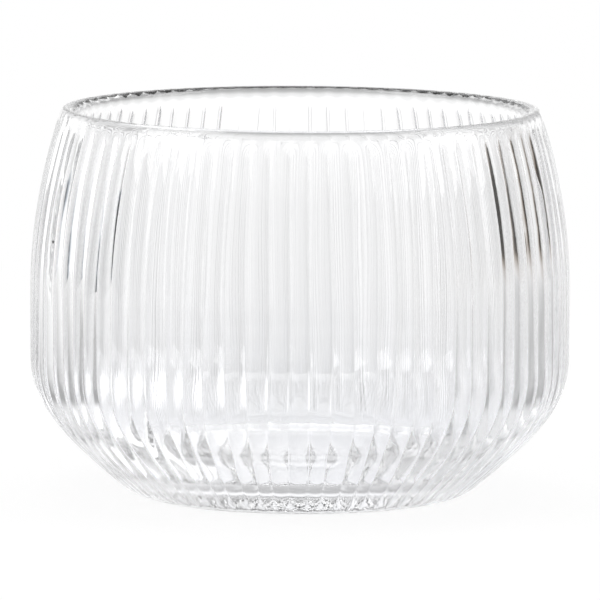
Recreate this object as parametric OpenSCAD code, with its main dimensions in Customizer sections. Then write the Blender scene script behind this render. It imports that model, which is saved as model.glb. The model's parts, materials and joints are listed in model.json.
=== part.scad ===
// A ribbed tea glass, moulded in one piece: a plain rounded lip, a barrel wall with upright
// ribs outside and a smooth face inside, a bowl that draws the ribs in to a narrow heel, and
// a thick base with a shallow hollow under it. Millimetres, +Z up, origin at the middle of
// the foot.

/* [Overall form] */
// Height from the table to the top of the lip
height = 60.8; // [54:0.2:72]
// Widest diameter, over the rib crests
belly_d = 85; // [80:0.5:96]
// Outer diameter where the wall meets the lip
rim_d = 75.8; // [66:0.2:84]
// Diameter of the flat that the glass stands on
foot_d = 47.8; // [42:0.2:56]
// Height at which the bowl becomes the upright belly
belly_low_z = 22; // [19:0.2:26]
// Height at which the belly starts to lean in towards the lip
belly_high_z = 31.8; // [27:0.2:38]

/* [Bowl curve] */
// Radius of the rounded heel between the foot and the bowl
heel_r = 7; // [3:0.5:9]
// Slope of the bowl just above the heel, in degrees from level
bowl_slope = 40; // [34:1:48]
// Reach of that slope up the bowl
heel_pull = 13.1; // [9:0.1:16]
// Reach of the upright belly down into the bowl
belly_pull = 7.6; // [4:0.2:10]

/* [Wall and base] */
// Thickness of the lip
lip_t = 2.3; // [1.8:0.1:3.2]
// Width of the narrow flat on top of the lip
lip_flat_w = 0.3; // [0.2:0.1:0.6]
// Width of the small round on the outer edge of the lip
lip_outer_w = 0.8; // [0.5:0.1:1]
// Height of that round
lip_outer_h = 0.9; // [0.5:0.1:2]
// Height of the longer round on the inner edge of the lip
lip_inner_h = 1.9; // [0.5:0.1:3]
// Thickness of the wall at the belly, from a rib crest to the inside
wall_t = 2.8; // [2.2:0.1:4]
// Thickness of glass between the floor of the inside and the table
base_t = 5.2; // [4.5:0.1:9]
// Thickness of the sloping bowl above the heel
bowl_t = 4; // [3:0.1:5]
// Radius of the hollow corner between the floor and the bowl inside
floor_corner_r = 11.5; // [4:0.5:14]

/* [Foot] */
// Width of the flat ring that touches the table
foot_ring_w = 4; // [2:0.5:8]
// Height of the hollow under the base
punt_h = 0.8; // [0.4:0.1:2]

/* [Ribs] */
// Number of ribs round the glass
rib_count = 80; // [48:1:88]
// Depth of the grooves between the ribs at the belly
rib_depth = 0.4; // [0.2:0.05:0.8]
// Fullness of the ribs: higher is flatter on the crest and steeper at the groove
rib_full = 0.9; // [0.5:0.05:0.95]
// Plain band between the top of the lip and the ribs
lip_band = 0.9; // [0.6:0.1:4]
// Height over which the ribs rise out of the plain band
rib_rise = 3; // [1:0.1:5]
// Height above the table at which the ribs have died away
rib_end_z = 0.3; // [0.2:0.1:2]
// Height over which the ribs die away towards the heel
rib_fall = 1.6; // [1:0.1:5]

/* [Hidden] */

glass_colour = [0.93, 0.95, 0.96, 0.4];
$fn = 96;

// Steps along each stretch of the outline, outside and inside
heel_steps = 3;
bowl_steps = 5;
upper_steps = 5;
lip_steps = 2;
inside_steps = 8;

// Points round one rib: crest, flank, groove, flank
rib_points = 4;

// How far a cutter runs out past the face that it opens
past = 5;

belly_r = belly_d / 2;
rim_r = rim_d / 2;
foot_r = foot_d / 2;
mouth_r = rim_r - lip_t;
inner_r = belly_r - wall_t;
lip_top_r = rim_r - lip_outer_w;
punt_r = foot_r - foot_ring_w;
ring_points = rib_count * rib_points;

// Directions up the slope of the bowl and square to it, towards the inside
up_bowl = [cos(bowl_slope), sin(bowl_slope)];
into_bowl = [-sin(bowl_slope), cos(bowl_slope)];

// Where the heel passes into the bowl, and the same place on the inner face of the bowl
heel_end = [foot_r, 0] + heel_r * [sin(bowl_slope), 1 - cos(bowl_slope)];
inner_start = heel_end + bowl_t * into_bowl;

// Run of the inner face from there to the floor and past the hollow corner
corner_reach = floor_corner_r * tan(bowl_slope / 2);
floor_run = (base_t - inner_start[1]) / sin(bowl_slope);
floor_r = (inner_start + floor_run * up_bowl)[0] - corner_reach;
inner_pull = heel_pull - floor_run - corner_reach;

// Point at share t of a curve through two ends, drawn towards one or two handles
function quadratic(a, b, c, t) =
    a * pow(1 - t, 2) + b * 2 * t * (1 - t) + c * pow(t, 2);
function cubic(a, b, c, d, t) =
    a * pow(1 - t, 3) + b * 3 * t * pow(1 - t, 2) + c * 3 * pow(t, 2) * (1 - t) + d * pow(t, 3);

// Rounded corner that leaves a level flat and turns up to the slope of the bowl
function corner(flat, corner_r, steps) =
    [for (i = [0:steps])
        let (turn = bowl_slope * i / steps)
        flat + corner_r * [sin(turn), 1 - cos(turn)]];

// Bowl from the end of its corner up to the upright belly, without its first point
function bowl(corner_end, pull, side_r, steps) =
    let (belly = [side_r, belly_low_z])
    [for (i = [1:steps])
        cubic(corner_end, corner_end + pull * up_bowl, belly - [0, belly_pull], belly, i / steps)];

// Upper wall from the belly to the lip, upright where it starts, with closer steps near the lip
function upper_wall(side_r, lip_r, lip_z, steps) =
    let (mid_z = (belly_high_z + lip_z) / 2)
    [for (i = [0:steps])
        quadratic([side_r, belly_high_z], [side_r, mid_z], [lip_r, lip_z], sin(90 * i / steps))];

// Round of the lip from the end of a wall to the flat on top, without its first point
function lip_round(side_r, lip_r, lip_z, top_r, steps) =
    let (lean = 2 * (side_r - lip_r) / (lip_z - belly_high_z) * (height - lip_z))
    [for (i = [1:steps])
        quadratic([lip_r, lip_z], [lip_r - lean, height], [top_r, height], i / steps)];

// Outside and inside of the glass in section, from the flat at the bottom to the flat on the lip
function last(list) = list[len(list) - 1];
heel = corner([foot_r, 0], heel_r, heel_steps);
outer_z = height - lip_outer_h;
outside = concat(
    heel,
    bowl(last(heel), heel_pull, belly_r, bowl_steps),
    upper_wall(belly_r, rim_r, outer_z, upper_steps),
    lip_round(belly_r, rim_r, outer_z, lip_top_r, lip_steps)
);
inner_z = height - lip_inner_h;
hollow_corner = corner([floor_r, base_t], floor_corner_r, inside_steps);
inside = concat(
    hollow_corner,
    bowl(last(hollow_corner), inner_pull, inner_r, inside_steps),
    upper_wall(inner_r, mouth_r, inner_z, inside_steps),
    lip_round(inner_r, mouth_r, inner_z, lip_top_r - lip_flat_w, inside_steps)
);

// Share of the full rib at a height: none on the lip band and the heel, whole between
function smooth(t) = let (s = max(0, min(1, t))) s * s * (3 - 2 * s);
function rib_share(z) =
    smooth((height - lip_band - z) / rib_rise) * smooth((z - rib_end_z) / rib_fall);

// Ribs with an elliptical crest and a narrow groove between each pair, shallower where the glass is
// narrower
function groove(angle) =
    let (
        turn = rib_count * angle / 360,
        across = 2 * abs(turn - round(turn)),
        edge = sqrt(1 - rib_full)
    )
    1 - (sqrt(1 - rib_full * pow(across, 2)) - edge) / (1 - edge);
function rib_radius(r, z, angle) = r - rib_depth * r / belly_r * rib_share(z) * groove(angle);

// Solid ribbed outside: a stack of rings joined by triangles and closed by two flat ends
module ribbed_outside() {
    rings = len(outside);
    points = [
        for (p = outside, k = [0:ring_points - 1])
            let (angle = 360 * k / ring_points, r = rib_radius(p[0], p[1], angle))
            [r * cos(angle), r * sin(angle), p[1]]
    ];
    sides = [
        for (i = [0:rings - 2], k = [0:ring_points - 1])
            let (
                next = (k + 1) % ring_points,
                low = i * ring_points,
                high = low + ring_points
            )
            each [
                [low + k, high + k, high + next],
                [low + k, high + next, low + next]
            ]
    ];
    bottom = [for (k = [0:ring_points - 1]) k];
    top = [for (k = [0:ring_points - 1]) rings * ring_points - 1 - k];
    polyhedron(points, concat(sides, [bottom, top]), convexity = 4);
}

// Smooth inside, open past the lip
module inside_space() {
    open_top = [[last(inside)[0], height + past], [0, height + past]];
    rotate_extrude()
        polygon(concat([[0, base_t]], inside, open_top));
}

// Shallow dome under the base, inside the ring that touches the table
module punt() {
    dome = [for (i = [0:inside_steps]) punt_r * [sin(90 * i / inside_steps), 0]
        + [0, punt_h * cos(90 * i / inside_steps)]];
    rotate_extrude()
        polygon(concat([[0, -past]], dome, [[punt_r, -past]]));
}

module glass() {
    color(glass_colour)
        difference() {
            ribbed_outside();
            inside_space();
            punt();
        }
}

glass();
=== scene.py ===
# %% [markdown]
# A wide ribbed tea glass, moulded in one piece of clear glass. The solid model gives its place
# and its outer size, and this lesson turns it in fine mesh, gives it a glass that bends light,
# and sets it on a white table in a studio of pale panels. Everything is in metres, with the
# origin at the middle of the foot and +Z up.

import json
import math

import bmesh
import bpy
from mathutils import Matrix, Quaternion, Vector, noise
from mathutils.geometry import interpolate_bezier

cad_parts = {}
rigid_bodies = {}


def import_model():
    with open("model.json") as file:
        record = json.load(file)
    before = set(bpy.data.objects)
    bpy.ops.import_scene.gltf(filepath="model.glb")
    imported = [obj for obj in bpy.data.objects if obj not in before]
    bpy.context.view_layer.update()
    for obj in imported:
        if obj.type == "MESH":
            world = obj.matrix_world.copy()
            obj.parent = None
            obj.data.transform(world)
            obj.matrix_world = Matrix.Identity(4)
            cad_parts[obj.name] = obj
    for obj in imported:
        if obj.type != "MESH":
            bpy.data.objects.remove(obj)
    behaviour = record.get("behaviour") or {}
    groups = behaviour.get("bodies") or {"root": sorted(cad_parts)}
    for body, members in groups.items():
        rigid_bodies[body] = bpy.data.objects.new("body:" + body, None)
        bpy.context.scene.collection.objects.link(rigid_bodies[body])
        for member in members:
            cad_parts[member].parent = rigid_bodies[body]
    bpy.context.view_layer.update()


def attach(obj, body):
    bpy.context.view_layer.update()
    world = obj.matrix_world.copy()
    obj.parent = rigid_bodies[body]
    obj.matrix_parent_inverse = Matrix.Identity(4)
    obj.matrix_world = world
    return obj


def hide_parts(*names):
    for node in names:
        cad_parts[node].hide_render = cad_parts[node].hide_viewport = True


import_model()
MM = 0.001

# %% [markdown]
# A turned shape starts as half of its section. Seen in a cut through the axis, the glass is one
# closed path: a shallow hollow under the base, the flat ring that stands on the table, a small
# heel, a bowl that slopes at 40 degrees, an upright belly, a wall that leans in to the lip, and
# the same again on the inside, where the surface is smooth. All of it follows from a few sizes,
# so they come first and are written once.

# %% Sizes of the glass, in millimetres
HEIGHT = 60.8
BELLY_R, RIM_R, FOOT_R = 42.5, 37.9, 23.9
BELLY_LOW_Z, BELLY_HIGH_Z = 22.0, 31.8
SLOPE = math.radians(40)
HEEL_R, HEEL_PULL, BELLY_PULL = 7.0, 13.1, 7.6
LIP_T, LIP_FLAT_W = 2.3, 0.3
LIP_OUTER_W, LIP_OUTER_H, LIP_INNER_H = 0.8, 0.9, 1.9
WALL_T, BOWL_T, BASE_T, FLOOR_CORNER_R = 2.8, 4.0, 5.2, 11.5
PUNT_R, PUNT_H = 19.9, 0.8
print("wall", WALL_T, "bowl", BOWL_T, "lip", LIP_T, "base", BASE_T, "mm thick")

# %% [markdown]
# The path could be typed as a long list of points, but a few Bezier curves say the same with
# sizes that can be measured, and Blender samples them. A curve with one handle is drawn with two
# that lie two thirds of the way to it, and the handles of a rounded corner have the length that
# makes it follow a circle. The leaning wall is cut in two curves, because the rings of its upper
# part lie closer: the lip shows every bend.

# %% Curves of the section
TOWARDS_HANDLE, CIRCLE_HANDLE = 2 / 3, 4 / 3
FINE_FROM, COARSER = 0.66, 3
up_slope = Vector((math.cos(SLOPE), math.sin(SLOPE)))
into_glass = Vector((-math.sin(SLOPE), math.cos(SLOPE)))


def curve(start, handle_1, handle_2, end, steps):
    """Points of one Bezier curve in the section, without the first."""
    return [point.to_2d() for point in interpolate_bezier(start, handle_1, handle_2, end, steps + 1)][1:]


def soft_curve(start, handle, end, steps):
    """The same with one handle, which both ends lean towards."""
    return curve(start, start.lerp(handle, TOWARDS_HANDLE), end.lerp(handle, TOWARDS_HANDLE), end, steps)


def hollow_or_heel(flat_end, radius, steps):
    """A rounded corner that leaves a level flat and turns up to the slope of the bowl."""
    reach = radius * math.tan(SLOPE / 4) * CIRCLE_HANDLE
    end = flat_end + radius * Vector((math.sin(SLOPE), 1 - math.cos(SLOPE)))
    return curve(flat_end, flat_end + Vector((reach, 0)), end - reach * up_slope, end, steps)


def wall_up(corner_end, pull, belly_r, lip_r, lip_z, top_r, steps):
    """Bowl, belly, leaning wall and the round of the lip, from the corner to the top."""
    bowl_steps, wall_steps, lip_steps = steps
    belly_low, belly_high = Vector((belly_r, BELLY_LOW_Z)), Vector((belly_r, BELLY_HIGH_Z))
    lip_start, top = Vector((lip_r, lip_z)), Vector((top_r, HEIGHT))
    lean = 2 * (belly_r - lip_r) / (lip_z - BELLY_HIGH_Z) * (HEIGHT - lip_z)
    points = curve(corner_end, corner_end + pull * up_slope,
                   belly_low - Vector((0, BELLY_PULL)), belly_low, bowl_steps)
    points += [belly_low.lerp(belly_high, 0.5), belly_high]
    handle = Vector((belly_r, (BELLY_HIGH_Z + lip_z) / 2))
    low_handle, high_handle = belly_high.lerp(handle, FINE_FROM), handle.lerp(lip_start, FINE_FROM)
    fine_start = low_handle.lerp(high_handle, FINE_FROM)
    points += soft_curve(belly_high, low_handle, fine_start, wall_steps // COARSER)
    points += soft_curve(fine_start, high_handle, lip_start, wall_steps)
    return points + soft_curve(lip_start, Vector((lip_r - lean, HEIGHT)), top, lip_steps)


print("slope of the bowl:", round(math.degrees(SLOPE)), "degrees")

# %% [markdown]
# The outside runs from the edge of the foot to the flat on the lip. The inside follows a line
# that lies one thickness of the bowl in from the heel, and where that line meets the level of
# the floor a wide hollow corner is laid. The hollow under the base is close to a quarter of an
# ellipse.

# %% Outside, inside and the hollow under the base
HEEL_STEPS, CORNER_STEPS, PUNT_STEPS = 8, 10, 8
OUTSIDE_STEPS, INSIDE_STEPS = (18, 24, 7), (10, 9, 9)
PUNT_LEVEL, PUNT_UPRIGHT = 0.55, 0.45

foot_edge = Vector((FOOT_R, 0))
heel = hollow_or_heel(foot_edge, HEEL_R, HEEL_STEPS)
lip_top_r = RIM_R - LIP_OUTER_W
outside = [foot_edge] + heel + wall_up(
    heel[-1], HEEL_PULL, BELLY_R, RIM_R, HEIGHT - LIP_OUTER_H, lip_top_r, OUTSIDE_STEPS)

inner_start = heel[-1] + BOWL_T * into_glass
floor_run = (BASE_T - inner_start.y) / math.sin(SLOPE)
corner_reach = FLOOR_CORNER_R * math.tan(SLOPE / 2)
floor_edge = inner_start + floor_run * up_slope - Vector((corner_reach, 0))
hollow_corner = hollow_or_heel(floor_edge, FLOOR_CORNER_R, CORNER_STEPS)
inside = [floor_edge] + hollow_corner + wall_up(
    hollow_corner[-1], HEEL_PULL - floor_run - corner_reach, BELLY_R - WALL_T,
    RIM_R - LIP_T, HEIGHT - LIP_INNER_H, lip_top_r - LIP_FLAT_W, INSIDE_STEPS)

punt_top, punt_edge = Vector((0, PUNT_H)), Vector((PUNT_R, 0))
punt = [punt_top] + curve(punt_top, Vector((PUNT_R * PUNT_LEVEL, PUNT_H)),
                          Vector((PUNT_R, PUNT_H * PUNT_UPRIGHT)), punt_edge, PUNT_STEPS)
floor_middle = Vector((0, BASE_T))
print("points in the section:", len(punt) + len(outside) + len(inside) + 1)

# %% [markdown]
# The ribs are pressed into the outside only, and not everywhere on it: they rise slowly out of
# a plain band under the lip and die away at the heel. So each point of the section gets a number
# that says how much of a rib it takes, none on the lip and the heel and all of it between.

# %% Share of a rib at each point
LIP_BAND, RIB_RISE, RIB_END_Z, RIB_FALL = 0.9, 3.0, 0.3, 1.6


def ease(share):
    """A share from 0 to 1 that starts and stops softly."""
    share = min(1, max(0, share))
    return share * share * (3 - 2 * share)


def rib_share(z):
    """How much of the full rib there is at a height, in millimetres."""
    return ease((HEIGHT - LIP_BAND - z) / RIB_RISE) * ease((z - RIB_END_Z) / RIB_FALL)


section = [(point, 0) for point in punt]
section += [(point, rib_share(point.y)) for point in outside]
section += [(point, 0) for point in reversed(inside)] + [(floor_middle, 0)]
print("points with a whole rib:", sum(share == 1 for _, share in section))

# %% [markdown]
# The section is spun about the axis into a closed body. A full spin in one go would do, but its
# time grows with the square of its steps, so an eighth is spun and then doubled three times. A
# vertex layer holds the share of a rib, and the spin copies it along.

# %% Spin the section
RIBS, STEPS_PER_RIB, PARTS = 80, 10, 8
SAME_PLACE = 0.00001
part_turn = 2 * math.pi / PARTS
bm = bmesh.new()
rib_layer = bm.verts.layers.float.new("rib")
chain = []
for point, share in section:
    vert = bm.verts.new((point.x * MM, 0, point.y * MM))
    vert[rib_layer] = share
    chain.append(vert)
edges = [bm.edges.new(pair) for pair in zip(chain, chain[1:])]
bmesh.ops.spin(bm, geom=chain + edges, cent=(0, 0, 0), axis=(0, 0, 1), angle=part_turn,
               steps=RIBS * STEPS_PER_RIB // PARTS)
for turn in (part_turn, 2 * part_turn, 4 * part_turn):
    twin = bmesh.ops.duplicate(bm, geom=bm.verts[:] + bm.edges[:] + bm.faces[:])["geom"]
    bmesh.ops.rotate(bm, verts=[item for item in twin if isinstance(item, bmesh.types.BMVert)],
                     cent=(0, 0, 0), matrix=Matrix.Rotation(turn, 3, "Z"))
bmesh.ops.remove_doubles(bm, verts=bm.verts, dist=SAME_PLACE)
bmesh.ops.recalc_face_normals(bm, faces=bm.faces)
print("spun body:", len(bm.verts), "vertices,", len(bm.faces), "faces")

# %% [markdown]
# Each rib has a full, nearly elliptical crest, and a narrow groove lies between it and the next.
# The steep sides of that groove are what draws a thin line on the glass. The columns of the mesh
# are crowded towards the grooves, so that the narrow part is round and not one sharp fold.
# Pressed ribs aren't machined: their spacing drifts a little, and some grooves are deeper than
# others, which breaks the light into uneven lines. A soft noise moves the grooves and their
# depth, and the smooth inside gets a faint waviness as the plunger leaves it.

# %% Press the ribs
RIB_DEPTH, RIB_FULL, CROWD = 0.4, 0.9, 0.5
RIB_DRIFT, DEPTH_CHANGE, INSIDE_WAVE = 0.25, 0.45, 0.05
ROUND_SCALE, UP_SCALE, DEPTH_SCALE, WAVE_SCALE = 7.8, 28, 2.2, 1.7
DRIFT_START, DEPTH_START = Vector((7, 3, 0)), Vector((0, 11, 5))
WAVE_FROM_Z = 0.012


def groove_depth(across):
    """Depth of the ribbed face below the crests, 0 at a crest and 1 in a groove, where across is 1."""
    edge = math.sqrt(1 - RIB_FULL)
    return 1 - (math.sqrt(1 - RIB_FULL * across ** 2) - edge) / (1 - edge)


def pressed(position, share):
    """The place of one vertex after the ribs are pressed, or after the plunger's waviness."""
    radius, angle = math.hypot(position.x, position.y), math.atan2(position.y, position.x)
    way = Vector((math.cos(angle) * ROUND_SCALE, math.sin(angle) * ROUND_SCALE,
                  position.z * UP_SCALE))
    if share > 0:
        drift = RIB_DRIFT * noise.noise(way + DRIFT_START)
        depth = RIB_DEPTH * (1 + DEPTH_CHANGE * noise.noise(way * DEPTH_SCALE + DEPTH_START))
        crowd = CROWD * math.sin(RIBS * angle)
        across = ((RIBS * angle + crowd) / math.pi + 1) % 2 - 1
        angle += share * (crowd - 2 * math.pi * drift) / RIBS
        radius -= depth * share * groove_depth(across) * radius / BELLY_R
    elif position.z > WAVE_FROM_Z:
        radius += INSIDE_WAVE * MM * noise.noise(way * WAVE_SCALE)
    return radius * math.cos(angle), radius * math.sin(angle)


for vert in bm.verts:
    vert.co.x, vert.co.y = pressed(vert.co, vert[rib_layer])
for face in bm.faces:
    face.smooth = True
print("ribs:", RIBS, "with", STEPS_PER_RIB, "columns each")

# %% [markdown]
# The mesh becomes one object at the origin. It rides on the part's only body and is shown in place of
# the plain solid.

# %% The glass as an object
glass_mesh = bpy.data.meshes.new("glass_body")
bm.to_mesh(glass_mesh)
bm.free()
glass = bpy.data.objects.new("glass_body", glass_mesh)
bpy.context.collection.objects.link(glass)
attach(glass, "root")
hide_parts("glass")
print("ribbed glass:", sum(len(face.vertices) - 2 for face in glass_mesh.polygons), "triangles")

# %% [markdown]
# Materials are trees of nodes, and their maths is easier to read as sums. The class below wraps
# a socket, so that an expression such as 1 - mask adds the Math node itself. One method makes
# every other node: it sets what kind of node it is first, and then its sockets.

# %% A socket that can be calculated with


class Signal:
    """One value in a node tree."""

    def __init__(self, socket):
        self.socket = socket

    @staticmethod
    def node(tree, kind, settings=(), sockets=()):
        """Any node, with its settings first and then a value or a Signal for each socket."""
        made = tree.nodes.new("ShaderNode" + kind)
        for name, value in dict(settings).items():
            if name == "stops":
                ramp = made.color_ramp
                while len(ramp.elements) < len(value):
                    ramp.elements.new(1)
                for element, (place, colour) in zip(ramp.elements, value):
                    element.position, element.color = place, (*colour, 1)
            elif name == "interpolation":
                made.color_ramp.interpolation = value
            else:
                setattr(made, name, value)
        for name, value in dict(sockets).items():
            if isinstance(value, Signal):
                tree.links.new(value.socket, made.inputs[name])
            else:
                made.inputs[name].default_value = value
        return made

    def maths(self, operation, *values):
        """A Math node on some values."""
        tree = self.socket.id_data
        made = self.node(tree, "Math", {"operation": operation}, enumerate(values))
        return Signal(made.outputs[0])

    def __add__(self, other):
        return self.maths("ADD", self, other)

    def __sub__(self, other):
        return self.maths("SUBTRACT", self, other)

    def __rsub__(self, other):
        return self.maths("SUBTRACT", other, self)

    def __mul__(self, other):
        return self.maths("MULTIPLY", self, other)

    def __truediv__(self, other):
        return self.maths("DIVIDE", self, other)

    __radd__ = __add__
    __rmul__ = __mul__


print("sockets can be added, subtracted, multiplied and divided")

# %% [markdown]
# Three small helpers serve every material here. A soft curve of brightness through a few stops
# is a colour ramp in greys, a step from one value to another is a sum, and two colours are mixed
# by a node of their own, because a Math node would turn them grey. That node has sockets for
# several kinds of value, so the ones for colour are picked by their places.

# %% Curves, steps and mixed colours
COLOUR_SHARE, COLOUR_A, COLOUR_B, COLOUR_OUT = 0, 6, 7, 2


def grey_ramp(value, stops):
    """A soft curve of grey through stops of (value, brightness), from the first to the last."""
    low, high = stops[0][0], stops[-1][0]
    greys = [((place - low) / (high - low), (level,) * 3) for place, level in stops]
    ramp = Signal.node(value.socket.id_data, "ValToRGB",
                       {"stops": greys, "interpolation": "EASE"}, {"Fac": (value - low) / (high - low)})
    return Signal(ramp.outputs["Color"])


def between(first, second, share):
    """A value that is the first where share is 0 and the second where it is 1."""
    return first + share * (second - first)


def mixed_colour(tree, share, first, second):
    """A colour on the way from the first to the second."""
    made = Signal.node(tree, "Mix", {"data_type": "RGBA"}, {
        COLOUR_SHARE: share, COLOUR_A: first, COLOUR_B: second})
    return Signal(made.outputs[COLOUR_OUT])


print("helpers:", ", ".join(helper.__name__ for helper in (grey_ramp, between, mixed_colour)))

# %% [markdown]
# Clear glass has almost no colour of its own, but real moulded glass isn't perfect: it is a
# touch cooler in its thicker parts, and the ring that it stands on is rubbed dull. Both could be
# painted, but noise on the object's own coordinates has no seams and fits any size. It feeds the
# colour and the roughness.

# %% Colour and wear of the glass
CLEAR, COOL = (0.995, 0.995, 0.995, 1), (0.9, 0.915, 0.965, 1)
COOL_BY_HEIGHT = [(0, 0.8), (0.012, 0.5), (0.03, 0.15), (0.06, 0.1)]
FOOT_BY_HEIGHT = [(-0.001, 1), (0.0001, 1), (0.0004, 0), (0.002, 0)]
CLOUD_SCALE, RUB_SCALE, RUB_ROUGHNESS = 45.0, 900.0, 0.35

clear_glass = bpy.data.materials.new("clear_glass_ribbed")
clear_glass.use_nodes = True
tree = clear_glass.node_tree
tree.nodes.clear()
place = Signal(Signal.node(tree, "TexCoord").outputs["Object"])
height = Signal(Signal.node(tree, "SeparateXYZ", (), {"Vector": place}).outputs["Z"])

clouds = Signal(Signal.node(tree, "TexNoise", (), {
    "Vector": place, "Scale": CLOUD_SCALE, "Detail": 2.0}).outputs["Fac"])
colour = mixed_colour(tree, clouds * grey_ramp(height, COOL_BY_HEIGHT), CLEAR, COOL)
rub = Signal(Signal.node(tree, "TexNoise", (), {
    "Vector": place, "Scale": RUB_SCALE, "Detail": 3.0}).outputs["Fac"])
roughness = grey_ramp(height, FOOT_BY_HEIGHT) * rub * RUB_ROUGHNESS
print("colour and wear nodes:", len(tree.nodes))

# %% [markdown]
# What makes it look like glass is that it bends light, so the shader's transmission and its
# index of refraction are plain values on its own sockets. The skin of pressed glass also has
# faint flow lines, longer upwards than across. A stretched noise adds them as a light bump,
# which is enough for something too shallow to be worth any mesh.

# %% Flow lines and the shader
GLASS_IOR = 1.5
FLOW_STRETCH, FLOW_SCALE = (1.0, 1.0, 0.25), 320.0
FLOW_STRENGTH, FLOW_DEPTH = 0.06, 0.0002

stretch = Signal.node(tree, "Mapping", (), {"Vector": place, "Scale": FLOW_STRETCH})
flow = Signal(Signal.node(tree, "TexNoise", (), {
    "Vector": Signal(stretch.outputs["Vector"]), "Scale": FLOW_SCALE, "Detail": 3.0,
    "Roughness": 0.55}).outputs["Fac"])
bump = Signal.node(tree, "Bump", (), {
    "Strength": FLOW_STRENGTH, "Distance": FLOW_DEPTH, "Height": flow})
shader = Signal.node(tree, "BsdfPrincipled", (), {
    "Base Color": colour, "Roughness": roughness, "IOR": GLASS_IOR,
    "Transmission Weight": 1.0, "Normal": Signal(bump.outputs["Normal"])})
Signal.node(tree, "OutputMaterial", (), {"Surface": Signal(shader.outputs["BSDF"])})
glass_mesh.materials.append(clear_glass)
print("glass nodes:", len(tree.nodes))

# %% [markdown]
# A clear glass in an even white room can't be seen at all: every bent ray still ends on white.
# Photographers stand pale panels round it with darker gaps between them, and the ribs turn
# these gaps into lines. The panels are written as brightness by compass bearing, 0 straight
# behind the glass, with a thin gap on each side of it for the fine lines in the wall.

# %% Panels and gaps by compass direction
ROUND_THE_GLASS = [
    (-180, 0.9), (-155, 0.9), (-140, 1.9), (-110, 1.9), (-98, 0.7), (-90, 0.5), (-82, 0.62),
    (-72, 0.58), (-64, 0.88), (-54, 1.16), (-44, 1.3), (-34, 1.28), (-24, 1.2), (-19, 0.66),
    (-13, 1.0), (0, 1.0), (11, 1.12), (17, 0.74), (23, 1.16), (36, 1.06), (46, 0.9), (56, 0.77),
    (66, 0.64), (76, 0.74), (86, 0.56), (96, 0.8), (106, 0.7), (118, 0.92), (132, 0.74),
    (150, 0.9), (180, 0.9)]
HALF_TURN = 180
DEGREES = HALF_TURN / math.pi


def panels(east, north):
    """Brightness of the panels in a direction, and its bearing in degrees."""
    bearing = east.maths("ARCTAN2", east, north) * DEGREES
    return grey_ramp(bearing, ROUND_THE_GLASS), bearing


def flat_top(value, start, full, fade, end):
    """A band of degrees that is 1 from full to fade and 0 outside start and end."""
    return grey_ramp(value, [
        (-HALF_TURN, 0), (start, 0), (full, 1), (fade, 1), (end, 0), (HALF_TURN, 0)])


print("panel stops:", len(ROUND_THE_GLASS))

# %% [markdown]
# The table's sheen is painted into its glow: like the sheen of white paint, it is bright when looked at
# along the surface, where it shows the bright room behind, and duller from above. That is why the round
# of the lip, which bends rays down, shows a soft grey edge. The brightness is written once, by how
# steeply a ray looks down, and both the room and the table use it.

# %% Brightness by steepness
LOOKING_DOWN = [(0, 1.06), (6, 1.06), (13, 1.04), (17, 0.9), (21, 0.75), (26, 0.62),
                (30, 0.58), (36, 0.53), (45, 0.47), (57, 0.42), (90, 0.38)]
LOOKING_UP = [(3, 1.02), (8, 0.92), (16, 0.92), (26, 0.95), (34, 1.1), (47, 1.1), (58, 0.75),
              (90, 0.5)]
print("straight down the table is", LOOKING_DOWN[-1][1], "and along it", LOOKING_DOWN[0][1])

# %% [markdown]
# The room and the table have to answer three kinds of ray in their own way. The camera itself
# sees plain white, the rays that the glass bends or mirrors see the panels, and the light that
# falls on the table is even. Blender tells a material which kind of ray has reached it.

# %% Kinds of ray


def kinds_of_ray(tree):
    """Two masks: rays straight from the camera, and rays that the glass has bent or mirrored."""
    path = Signal.node(tree, "LightPath").outputs
    from_camera = Signal(path["Is Camera Ray"])
    from_glass = from_camera.maths("MAXIMUM", Signal(path["Is Transmission Ray"]),
                                   Signal(path["Is Glossy Ray"]))
    return from_camera, from_glass


print("helper:", kinds_of_ray.__name__)

# %% [markdown]
# Three gaps in the room are more than the panels can say, because they end above and below. A
# deep one at each side draws the dark streaks near the two edges of the glass, and a faint one
# behind the glass gives the petals in the base one darker flank. Each is a band of bearings
# times a band of heights above the horizon.

# %% Brightness of the room
LEFT_GAP = (-102, -88, -64, -56), (-6, -4, 3, 6)
RIGHT_GAP = (50, 58, 90, 102), (-4, -1, 10, 14)
PETAL_GAP = (3, 12, 24, 36), (3, 6, 40, 60)
GAPS = LEFT_GAP, RIGHT_GAP, PETAL_GAP
GAP_DARK, PETAL_DARK = 0.97, 0.3

room = bpy.data.worlds.new("studio_room")
bpy.context.scene.world = room
room.use_nodes = True
tree = room.node_tree
tree.nodes.clear()
way = Signal(Signal.node(tree, "TexCoord").outputs["Generated"])
east, north, up = [Signal(socket) for socket in Signal.node(
    tree, "SeparateXYZ", (), {"Vector": way}).outputs]
level, bearing = panels(east, north)
rise = up.maths("ARCSINE", up) * DEGREES
level = level * grey_ramp(
    rise, [(-angle, shade) for angle, shade in reversed(LOOKING_DOWN)] + LOOKING_UP)
left_gap, right_gap, petal_gap = [
    flat_top(bearing, *across) * flat_top(rise, *upward) for across, upward in GAPS]
level = level * (1 - left_gap * GAP_DARK) * (1 - right_gap * GAP_DARK) * (1 - petal_gap * PETAL_DARK)
print("gaps in the room:", len(GAPS))

# %% [markdown]
# Light from the two sides of a real room is seldom the same colour. The left gap is bluish here
# and the right one warm, and as both are nearly black, the tint shows as a fringe on the streaks.
# The camera, which looks past the glass, still sees plain white.

# %% The room's light
ROOM_LIGHT = 0.6
WHITE, LEFT_TINT, RIGHT_TINT = (1, 1, 1, 1), (0.72, 0.84, 1.0, 1), (1.0, 0.8, 0.62, 1)

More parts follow.
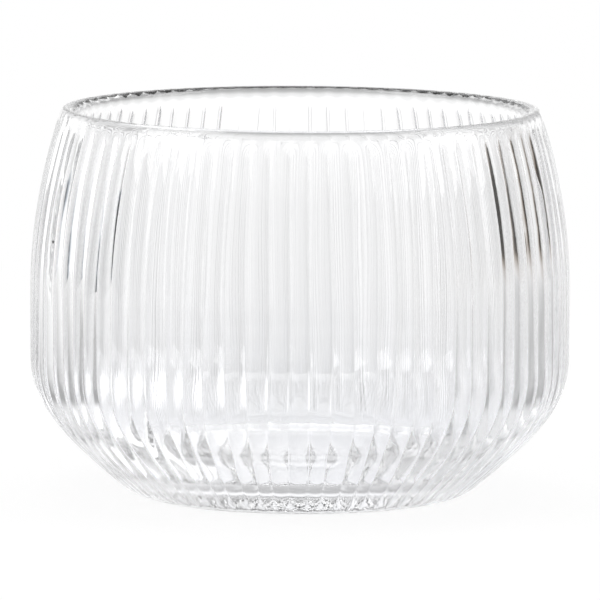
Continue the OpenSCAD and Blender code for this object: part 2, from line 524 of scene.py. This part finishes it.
from_camera, from_glass = kinds_of_ray(tree)
seen = from_glass * level + (1 - from_glass) * ROOM_LIGHT
bluish = mixed_colour(tree, left_gap * (1 - from_camera), WHITE, LEFT_TINT)
tint = mixed_colour(tree, right_gap * (1 - from_camera), bluish, RIGHT_TINT)
shade = Signal.node(tree, "Background", (), {
    "Color": tint, "Strength": from_camera + (1 - from_camera) * seen})
Signal.node(tree, "OutputWorld", (), {"Surface": Signal(shade.outputs["Background"])})
print("room nodes:", len(tree.nodes))

# %% [markdown]
# The table is a plain white disc, many times wider than the glass, so that bent rays that look
# down find it and not the room. It lies a hair below the foot, so that the two surfaces don't
# fight for the same place.

# %% The table's disc
TABLE_R, TABLE_DROP, TABLE_SIDES = 0.55, 0.00005, 96
bm = bmesh.new()
bmesh.ops.create_circle(bm, cap_ends=True, segments=TABLE_SIDES, radius=TABLE_R)
bmesh.ops.translate(bm, verts=bm.verts, vec=(0, 0, -TABLE_DROP))
table_mesh = bpy.data.meshes.new("white_table")
bm.to_mesh(table_mesh)
bm.free()
table = bpy.data.objects.new("white_table", table_mesh)
bpy.context.collection.objects.link(table)
print("table radius:", TABLE_R, "m")

# %% [markdown]
# Seen through the wall of the glass, the open table shows the panels in its painted sheen. The painted
# sheen is full straight behind the glass and weaker to the sides. Close to the glass the table has a
# painted shade and is a little duller, as the glass keeps light away from it, and behind it on the left
# it has a painted spot of light, where light comes through the wall.

# %% The open table
STRAIGHT_BEHIND, SIDE_LIFT = (-24, -8, 8, 24), 0.7
# Painted shade: the table is darker close to the glass.
SHADE_NEAR_GLASS = [(0, 0.73), (0.05, 0.73), (0.08, 0.75), (0.11, 0.77), (0.15, 0.78), (0.22, 0.81),
               (0.3, 0.84), (0.38, 0.87), (0.46, 0.92), (TABLE_R, 1.0)]
SPOT_EAST, SPOT_NORTH, SPOT_R, SPOT_GAIN = -0.043, 0.055, 0.038, 0.85

white_table = bpy.data.materials.new("white_table")
white_table.use_nodes = True
tree = white_table.node_tree
tree.nodes.clear()
place = Signal(Signal.node(tree, "TexCoord").outputs["Object"])
east, north, up = [Signal(socket) for socket in Signal.node(
    tree, "SeparateXYZ", (), {"Vector": place}).outputs]
far = up.maths("SQRT", east * east + north * north)
level, bearing = panels(east, north)
facing = Signal(Signal.node(tree, "LayerWeight", (), {"Blend": 0.5}).outputs["Facing"])
# Painted sheen: the table's glow is brighter where a ray looks along it and duller from above.
painted_sheen = grey_ramp(facing, [
    (1 - math.sin(math.radians(angle)), shade) for angle, shade in reversed(LOOKING_DOWN)])
painted_sheen = painted_sheen + (1 - painted_sheen) * (1 - flat_top(bearing, *STRAIGHT_BEHIND)) * SIDE_LIFT
# A painted spot of light on the table, behind the glass on the left.
from_spot = up.maths("SQRT", (east - SPOT_EAST) * (east - SPOT_EAST)
                     + (north - SPOT_NORTH) * (north - SPOT_NORTH))
painted_light_spot = grey_ramp(from_spot, [(0, SPOT_GAIN), (SPOT_R, 0), (TABLE_R, 0)])
open_table = level * painted_sheen * grey_ramp(far, SHADE_NEAR_GLASS) + painted_light_spot
print("open table nodes:", len(tree.nodes))

# %% [markdown]
# Under the glass the table isn't evenly lit, and its glow paints that. A painted pool of light lies
# inside the ring of the foot, where the bowl gathers light, and a painted shadow of the foot makes a
# narrow circle round the pool. Looked at steeply that circle is grey, which makes the grey band across
# the thick base; looked at along the surface it shines like the rest, with a painted sheen. A picture
# could be painted for this, but a few curves, by distance from the axis and by place across and along,
# say the same and are tuned one by one.

# %% The table under the glass
POOL_EDGE = [(0, 1), (0.02, 1), (0.0222, 0), (0.06, 0)]
POOL_ACROSS = [(-0.03, 1.12), (-0.018, 1.1), (-0.008, 1.02), (0.002, 0.98), (0.012, 0.94),
               (0.02, 0.9), (0.03, 0.88)]
POOL_OUTWARD = [(0, 0.87), (0.01, 0.94), (0.017, 1.06), (0.024, 1.08)]
RING_ACROSS = [(-0.04, 1.42), (-0.018, 1.42), (-0.008, 0.9), (0.008, 0.9), (0.018, 0.82), (0.04, 0.82)]
RING_OUTWARD = [(0, 0.88), (0.03, 0.88), (0.036, 1), (0.06, 1)]
FOOT_EDGE = [(0, 1), (0.0245, 1), (0.0275, 0), (0.06, 0)]
SHINE_ALONG = [(0, 0), (0.28, 0), (0.4, 1), (1, 1)]
SHINE_OUTWARD = [(0, 0), (0.0232, 0), (0.0242, 1), (0.06, 1)]
BESIDE = [(-0.03, 1), (-0.014, 1), (-0.006, 0), (0.006, 0), (0.014, 1), (0.03, 1)]
BEHIND = [(-0.03, 0), (-0.012, 0), (0.004, 1), (0.03, 1)]
# Painted shadow of the foot: grey under the ring it stands on and lighter behind it; the painted sheen
# along the surface is duller beside it.
FOOT_SHADOW_GREY, BACK_SHADOW_GREY, DULL_BESIDE = 0.52, 0.84, 0.75

shine = grey_ramp(facing, SHINE_ALONG) * grey_ramp(far, SHINE_OUTWARD)
foot_shadow_and_sheen = FOOT_SHADOW_GREY + shine * (1 - grey_ramp(east, BESIDE) * DULL_BESIDE) * (1 - FOOT_SHADOW_GREY)
front_ring = grey_ramp(east, RING_ACROSS) * grey_ramp(far, RING_OUTWARD)
front_ring = between(front_ring, foot_shadow_and_sheen, grey_ramp(far, FOOT_EDGE))
ring = between(front_ring, BACK_SHADOW_GREY, grey_ramp(north, BEHIND))
# A painted pool of light under the base, brighter on the left.
pool = grey_ramp(east, POOL_ACROSS) * grey_ramp(far, POOL_OUTWARD)
under_glass = between(ring, pool, grey_ramp(far, POOL_EDGE))
print("nodes with the part under the glass:", len(tree.nodes))

# %% [markdown]
# To the camera the table is the same white as the room, and it keeps a little of its real shading, which
# holds the shadow of the glass. A Mix Shader chooses: plain paper for light that falls on it, and a glow
# for the camera and for rays from the glass, plain white for the camera and the painted light and shade
# above for rays from the glass.

# %% The table's shader
OPEN_FROM = [(0, 0), (0.05, 0), (0.068, 1), (0.1, 1)]
KEEPS_SHADOW = [(0, 0.1), (0.12, 0.08), (0.3, 0), (TABLE_R, 0)]
PAPER = (0.9, 0.9, 0.9, 1)

painted_glow = between(under_glass, open_table, grey_ramp(far, OPEN_FROM))
from_camera, from_glass = kinds_of_ray(tree)
glow = Signal.node(tree, "Emission", (), {"Color": from_camera + (1 - from_camera) * painted_glow})
paper = Signal.node(tree, "BsdfDiffuse", (), {"Color": PAPER})
chosen = Signal.node(tree, "MixShader", (), {
    0: from_camera * (1 - grey_ramp(far, KEEPS_SHADOW)) + (1 - from_camera) * from_glass,
    1: Signal(paper.outputs["BSDF"]), 2: Signal(glow.outputs["Emission"])})
Signal.node(tree, "OutputMaterial", (), {"Surface": Signal(chosen.outputs["Shader"])})
table_mesh.materials.append(white_table)
print("table nodes:", len(tree.nodes))

# %% [markdown]
# Three soft lamps light the table and put pale reflections on the glass: one above and behind,
# and a panel on each side, the left one stronger. They are wide, so that the shadow is soft.

# %% Lamps
LAMPS = [("left_panel", (-0.8, -0.3, 0.7), (0.6, 0.8), 4.5),
         ("right_panel", (0.9, -0.2, 0.6), (0.5, 0.7), 3.0),
         ("top_panel", (0, 0.2, 1.1), (0.9, 0.7), 5.0)]
LAMP_AIM = Vector((0, 0, 0.03))
for name, where, size, power in LAMPS:
    light = bpy.data.lights.new(name, "AREA")
    light.shape, light.size, light.size_y, light.energy = "RECTANGLE", *size, power
    lamp = bpy.data.objects.new(name, light)
    bpy.context.collection.objects.link(lamp)
    lamp.location = where
    lamp.rotation_euler = (LAMP_AIM - lamp.location).to_track_quat("-Z", "Y").to_euler()
print("lamps:", len(LAMPS))

# %% [markdown]
# The photograph looks down on the lip by between five and six degrees, from far enough away that
# the lip and the foot show almost the same curve. A long lens from about a metre gives that view,
# with a slight roll, because the glass isn't quite level in the picture.

# %% Camera
SENSOR_W, LENS, CLIP_END = 36, 407.6, 100
CAMERA_PLACE, AIM, ROLL = Vector((0, -1.0625, 0.16329)), Vector((0, 0, 0.030354)), 0.3
camera = bpy.data.objects.new("camera", bpy.data.cameras.new("camera"))
bpy.context.collection.objects.link(camera)
camera.data.sensor_width, camera.data.lens, camera.data.clip_end = SENSOR_W, LENS, CLIP_END
camera.location = CAMERA_PLACE
level_view = (AIM - CAMERA_PLACE).to_track_quat("-Z", "Y")
camera.rotation_euler = (level_view @ Quaternion((0, 0, 1), math.radians(ROLL))).to_euler()
down_on_lip = math.atan2(CAMERA_PLACE.z - HEIGHT * MM, -CAMERA_PLACE.y)
print("camera looks down on the lip by", round(math.degrees(down_on_lip), 1), "degrees")

# %% [markdown]
# Light takes many turns inside a ribbed wall, so the limits on its bounces are raised, or the
# trapped paths would turn black. Mirrored turns keep a lower limit than bent ones, so that light
# guided far along the wall still ends dark. The plain view transform keeps white as white.

# %% Light paths and view
MOST_BOUNCES, MIRRORED_BOUNCES, BENT_BOUNCES = 32, 13, 24
scene = bpy.context.scene
scene.camera = camera
scene.view_settings.view_transform = "Standard"
scene.cycles.max_bounces = MOST_BOUNCES
scene.cycles.glossy_bounces, scene.cycles.transmission_bounces = MIRRORED_BOUNCES, BENT_BOUNCES
print("bounces: mirrored", MIRRORED_BOUNCES, "bent", BENT_BOUNCES)
